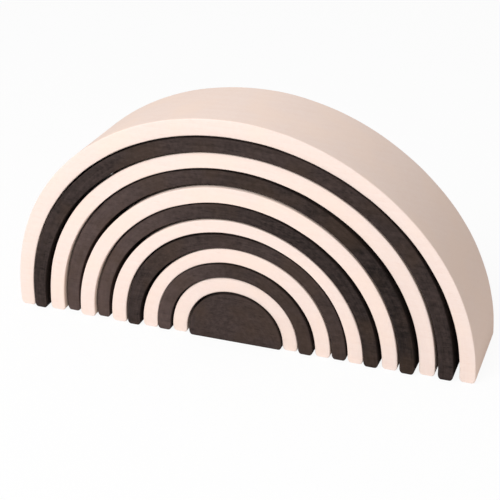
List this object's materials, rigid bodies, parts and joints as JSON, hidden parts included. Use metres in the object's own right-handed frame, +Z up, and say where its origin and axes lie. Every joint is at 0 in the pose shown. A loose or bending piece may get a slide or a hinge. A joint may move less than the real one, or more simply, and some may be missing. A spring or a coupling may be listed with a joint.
{
  "type": "rainbow stacker",
  "caption": "Wooden rainbow stacker: loose nesting arches in alternating natural and black-stained wood over a solid half-round centre block, for stacking and building play.",
  "frame": {"origin": "on the floor, at the middle of the largest arch's width and depth", "axes": "+X along the width, +Y from the front faces towards the back, +Z up"},
  "size_m": [0.3798, 0.0758, 0.1841],
  "materials": {
    "natural_wood": "bare fine-sanded pale hardwood",
    "black_wood": "matte black stain with the grain showing"
  },
  "bodies": {
    "centre_block": {"centre_block": "black_wood"},
    "arch_01": {"arch_01_natural": "natural_wood"},
    "arch_02": {"arch_02_black": "black_wood"},
    "arch_03": {"arch_03_natural": "natural_wood"},
    "arch_04": {"arch_04_black": "black_wood"},
    "arch_05": {"arch_05_natural": "natural_wood"},
    "arch_06": {"arch_06_black": "black_wood"},
    "arch_07": {"arch_07_natural": "natural_wood"},
    "arch_08": {"arch_08_black": "black_wood"},
    "arch_09": {"arch_09_natural": "natural_wood"},
    "arch_10": {"arch_10_black": "black_wood"},
    "arch_11": {"arch_11_natural": "natural_wood"}
  },
  "joints": [
    {"name": "arch_01_slide", "type": "slide", "parent": "centre_block", "child": "arch_01", "axis": [0, 1, 0], "range_m": [-0.08, 0.08]},
    {"name": "arch_02_slide", "type": "slide", "parent": "centre_block", "child": "arch_02", "axis": [0, 1, 0], "range_m": [-0.08, 0.08]},
    {"name": "arch_03_slide", "type": "slide", "parent": "centre_block", "child": "arch_03", "axis": [0, 1, 0], "range_m": [-0.08, 0.08]},
    {"name": "arch_04_slide", "type": "slide", "parent": "centre_block", "child": "arch_04", "axis": [0, 1, 0], "range_m": [-0.08, 0.08]},
    {"name": "arch_05_slide", "type": "slide", "parent": "centre_block", "child": "arch_05", "axis": [0, 1, 0], "range_m": [-0.08, 0.08]},
    {"name": "arch_06_slide", "type": "slide", "parent": "centre_block", "child": "arch_06", "axis": [0, 1, 0], "range_m": [-0.08, 0.08]},
    {"name": "arch_07_slide", "type": "slide", "parent": "centre_block", "child": "arch_07", "axis": [0, 1, 0], "range_m": [-0.08, 0.08]},
    {"name": "arch_08_slide", "type": "slide", "parent": "centre_block", "child": "arch_08", "axis": [0, 1, 0], "range_m": [-0.08, 0.08]},
    {"name": "arch_09_slide", "type": "slide", "parent": "centre_block", "child": "arch_09", "axis": [0, 1, 0], "range_m": [-0.08, 0.08]},
    {"name": "arch_10_slide", "type": "slide", "parent": "centre_block", "child": "arch_10", "axis": [0, 1, 0], "range_m": [-0.08, 0.08]},
    {"name": "arch_11_slide", "type": "slide", "parent": "centre_block", "child": "arch_11", "axis": [0, 1, 0], "range_m": [-0.08, 0.08]}
  ]
}
